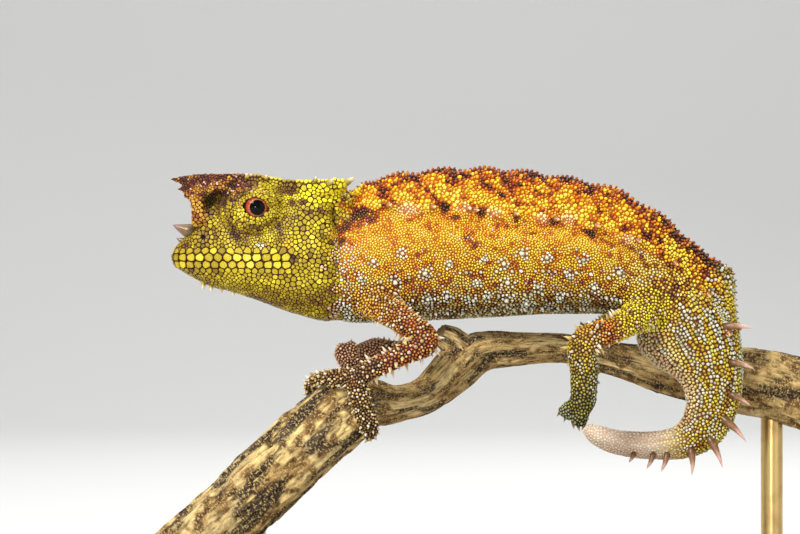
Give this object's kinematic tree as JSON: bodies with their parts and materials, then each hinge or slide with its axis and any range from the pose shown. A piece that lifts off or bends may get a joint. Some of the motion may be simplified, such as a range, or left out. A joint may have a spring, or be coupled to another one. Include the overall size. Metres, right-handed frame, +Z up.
{
  "type": "leaf chameleon model on a perch",
  "caption": "Life-size river leaf chameleon that grips a bent, cut branch, held over a flat display base by short rods.",
  "frame": {"origin": "centre of the base plate's underside, which rests on the floor", "axes": "+Z up; the animal faces -X along the base's long side; its left side faces -Y"},
  "size_m": [0.0604, 0.03, 0.0379],
  "materials": {
    "head_skin": "close yellow-olive plates with dark gaps, satin",
    "body_skin": "orange, rust and yellow granules with pale tubercles, satin",
    "limb_skin": "maroon to rust granules with cream cones, satin",
    "tail_skin": "yellow-green granules with pale blue-grey rows, satin",
    "eye": "wet gloss, black pupil in an orange-red ring",
    "bark": "dry bark, matt",
    "base_wood": "dark stained wood, satin",
    "rod_brass": "satin"
  },
  "bodies": {
    "root": {"head": "head_skin", "eye_left": "eye", "eye_right": "eye", "neck": "body_skin", "torso_front": "body_skin", "torso_rear": "body_skin", "tail_root": "tail_skin", "tail_middle": "tail_skin", "tail_tip": "tail_skin", "upper_arm_left": "limb_skin", "forearm_left": "limb_skin", "hand_left": "limb_skin", "upper_arm_right": "limb_skin", "forearm_right": "limb_skin", "hand_right": "limb_skin", "thigh_left": "limb_skin", "shin_left": "limb_skin", "foot_left": "limb_skin", "thigh_right": "limb_skin", "shin_right": "limb_skin", "foot_right": "limb_skin", "perch": "bark", "stand_base": "base_wood", "stand_rod_front": "rod_brass", "stand_rod_rear": "rod_brass"}
  },
  "joints": []
}
